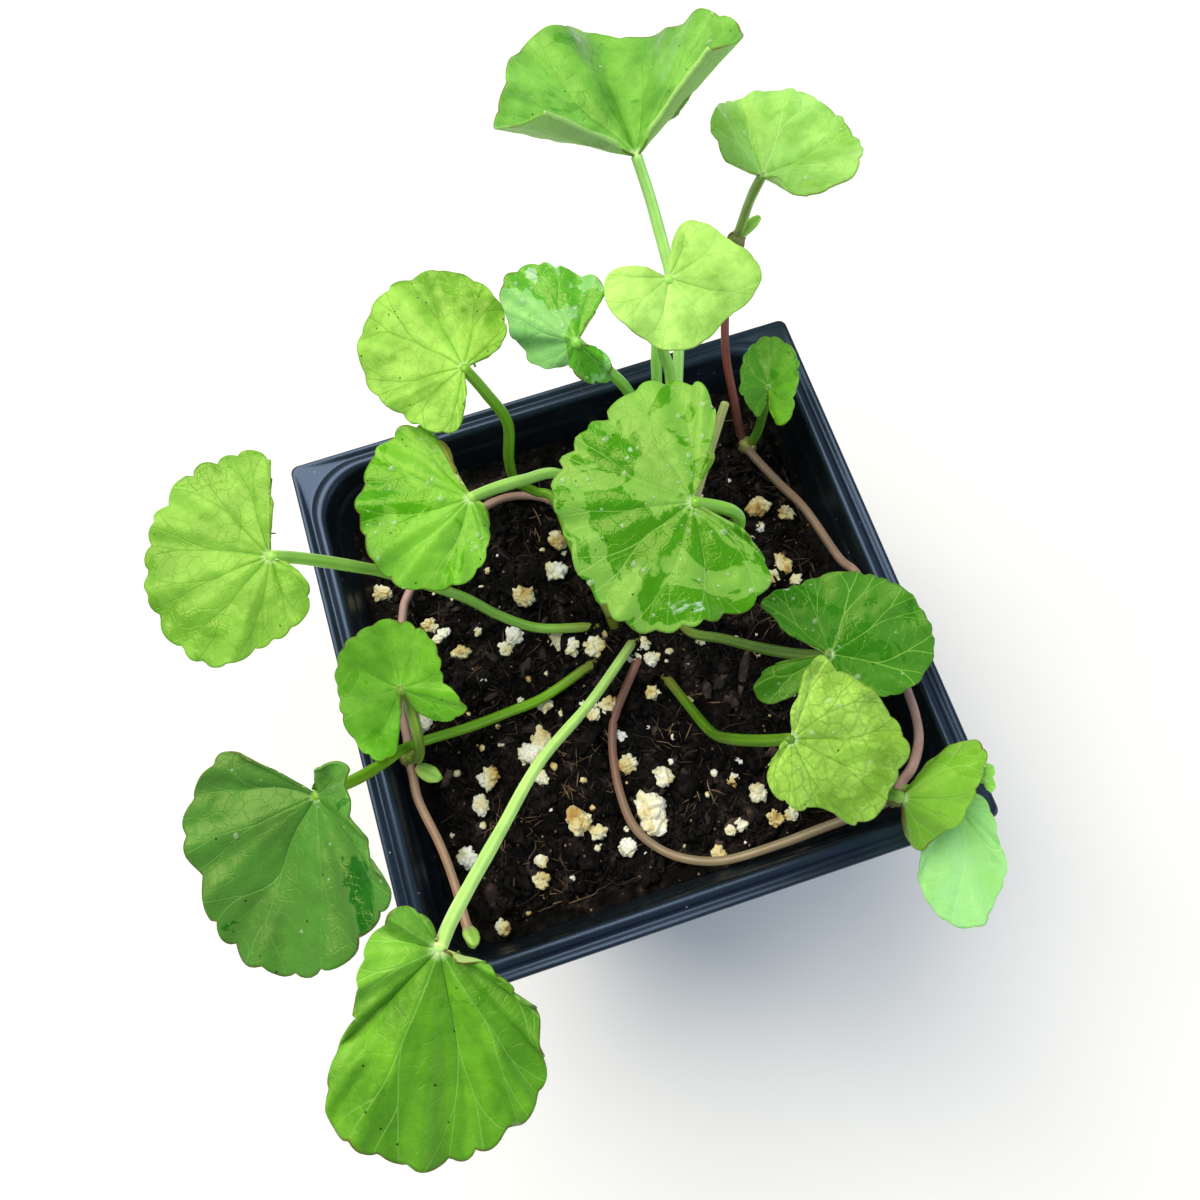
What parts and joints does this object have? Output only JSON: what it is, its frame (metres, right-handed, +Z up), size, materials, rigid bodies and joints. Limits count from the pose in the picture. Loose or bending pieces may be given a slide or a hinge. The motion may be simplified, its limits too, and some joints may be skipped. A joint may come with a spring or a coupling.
{
  "type": "potted herb",
  "caption": "Creeping herb with round scalloped leaves on long upright stems and rooting runners, growing in a square black nursery pot.",
  "frame": {"origin": "middle of the pot's flat underside", "axes": "+Z up along the pot's centre line; +X and +Y along the sides of the square rim, +Y towards the tall leaf that reaches past the rim"},
  "size_m": [0.1249, 0.1514, 0.1463],
  "materials": {
    "pot_plastic": "satin, thin recycled polypropylene",
    "soil": "loose damp peat and bark",
    "leaf": "soft, slightly glossy leaf",
    "petiole": "ridged green stem",
    "dry_stalk": "dry, matt",
    "runner": "smooth reddish stem",
    "node": "scaly, matt",
    "young_growth": "soft, slightly glossy",
    "perlite": "matt, porous"
  },
  "bodies": {
    "root": {"crown": "node", "leaf_bud": "leaf", "leaf_centre": "leaf", "leaf_corner": "leaf", "leaf_east": "leaf", "leaf_folded": "leaf", "leaf_funnel": "leaf", "leaf_heart": "leaf", "leaf_inner_west": "leaf", "leaf_north": "leaf", "leaf_northwest": "leaf", "leaf_pale": "leaf", "leaf_runner_west": "leaf", "leaf_south": "leaf", "leaf_southeast": "leaf", "leaf_southwest": "leaf", "leaf_west": "leaf", "leaf_wet": "leaf", "node_east": "node", "node_north": "node", "node_south": "node", "node_west": "node", "perlite_01": "perlite", "perlite_02": "perlite", "perlite_03": "perlite", "perlite_04": "perlite", "perlite_05": "perlite", "perlite_06": "perlite", "perlite_07": "perlite", "perlite_08": "perlite", "perlite_09": "perlite", "petiole_bud": "petiole", "petiole_centre": "petiole", "petiole_corner": "petiole", "petiole_east": "petiole", "petiole_folded": "petiole", "petiole_funnel": "petiole", "petiole_heart": "petiole", "petiole_inner_west": "petiole", "petiole_north": "petiole", "petiole_northwest": "petiole", "petiole_pale": "petiole", "petiole_runner_west": "petiole", "petiole_south": "petiole", "petiole_southeast": "petiole", "petiole_southwest": "petiole", "petiole_west": "petiole", "petiole_wet": "petiole", "pot": "pot_plastic", "runner_east": "runner", "runner_north": "runner", "runner_south": "runner", "runner_west": "runner", "runner_west_tip": "runner", "soil": "soil", "stalk_cut": "dry_stalk", "stalk_spent": "petiole", "tip_bud": "young_growth", "young_leaf": "young_growth"}
  },
  "joints": []
}
